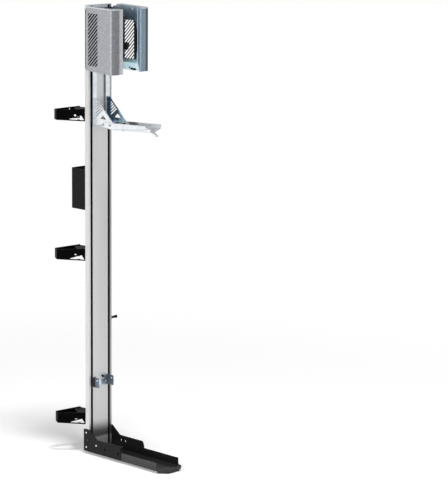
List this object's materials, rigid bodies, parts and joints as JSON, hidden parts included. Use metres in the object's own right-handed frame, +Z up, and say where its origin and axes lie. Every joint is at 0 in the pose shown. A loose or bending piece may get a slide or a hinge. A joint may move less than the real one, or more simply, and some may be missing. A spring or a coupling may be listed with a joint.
{
  "type": "swivel bike wall mount",
  "caption": "Tall slotted column that swivels on wall brackets, with a sliding wheel head, hook and support arm above and a floor-level wheel tray below, for storing a bicycle upright.",
  "frame": {"origin": "middle of the middle bracket's wall face, where it meets the wall", "axes": "+Z up along the column; the column's front, with the arm and the tray, faces -Y at rest; the wall faces -X and +Y, with its outward normal 60 degrees from the column's front"},
  "size_m": [0.2376, 0.6123, 1.9053],
  "materials": {
    "black_steel": "black powder coat",
    "base_black": "black powder coat, fine grain",
    "column_aluminium": "satin anodised extrusion",
    "silver_coat": "silver powder coat, speckled",
    "zinc": "bright zinc plate",
    "guide_zinc": "blue zinc plate",
    "charcoal_coat": "charcoal powder coat",
    "black_plastic": "moulded, matt",
    "rubber": "matt black rubber",
    "steel": "plated",
    "screw_black": "blackened steel",
    "spring_steel": "oiled spring steel"
  },
  "bodies": {
    "wall_side": {"wall_bracket_top": "black_steel", "wall_bracket_middle": "black_steel", "wall_bracket_bottom": "black_steel", "pivot_pin_top": "screw_black", "pivot_pin_middle": "screw_black", "pivot_pin_bottom": "screw_black"},
    "column_body": {"column": "column_aluminium", "column_top_cap": "black_plastic", "knuckle_top": "black_steel", "knuckle_middle": "black_steel", "knuckle_bottom": "black_steel", "swivel_bush_top": "black_plastic", "swivel_bush_middle": "black_plastic", "swivel_bush_bottom": "black_plastic", "base_plate_left": "base_black", "base_plate_right": "base_black", "wheel_tray": "base_black", "tray_screw_left_1": "screw_black", "tray_screw_left_2": "screw_black", "tray_screw_right_1": "screw_black", "tray_screw_right_2": "screw_black", "spring_housing": "charcoal_coat", "drum_axle": "steel", "rear_wheel_guide": "guide_zinc", "guide_screw_left": "steel", "guide_screw_right": "steel", "knob_plate": "steel"},
    "carriage": {"back_strip_left": "zinc", "back_strip_right": "zinc", "slide_shoe_lower_left": "black_plastic", "slide_shoe_lower_right": "black_plastic", "slide_shoe_upper_left": "black_plastic", "slide_shoe_upper_right": "black_plastic", "carriage_plate": "black_steel", "head_shell_left": "silver_coat", "head_shell_right": "silver_coat", "inner_wall_left": "zinc", "inner_wall_right": "zinc", "rim_pad_left": "rubber", "rim_pad_right": "rubber", "wheel_hook": "steel", "hook_sleeve": "rubber", "arm_bracket": "zinc", "support_arm": "zinc", "arm_bolt_1": "steel", "arm_bolt_2": "steel", "arm_spacer_left_1": "zinc", "arm_spacer_left_2": "zinc", "arm_spacer_right_1": "zinc", "arm_spacer_right_2": "zinc"},
    "lock": {"lock_knob": "black_plastic", "lock_plunger": "steel"},
    "drum": {"spring_drum": "spring_steel"}
  },
  "joints": [
    {"name": "column_swivel", "type": "hinge", "parent": "wall_side", "child": "column_body", "pos_m": [0.12211, -0.0705, 0], "axis": [0, 0, 1], "range_deg": [-5, 125]},
    {"name": "carriage_slide", "type": "slide", "parent": "column_body", "child": "carriage", "axis": [0, 0, 1], "range_m": [-1.05, 0], "stiffness_N_per_m": 20, "springref_m": 4.5},
    {"name": "lock_pull", "type": "slide", "parent": "column_body", "child": "lock", "axis": [1, 0, 0], "range_m": [0, 0.008], "stiffness_N_per_m": 300, "springref_m": -0.004},
    {"name": "drum_turn", "type": "hinge", "parent": "column_body", "child": "drum", "pos_m": [0.12211, -0.06945, 0.267], "axis": [1, 0, 0], "range_deg": [-2010, 0]}
  ],
  "couplings": [
    {"joint": "drum_turn", "follows": "carriage_slide", "rad_per_m": 33.333}
  ]
}
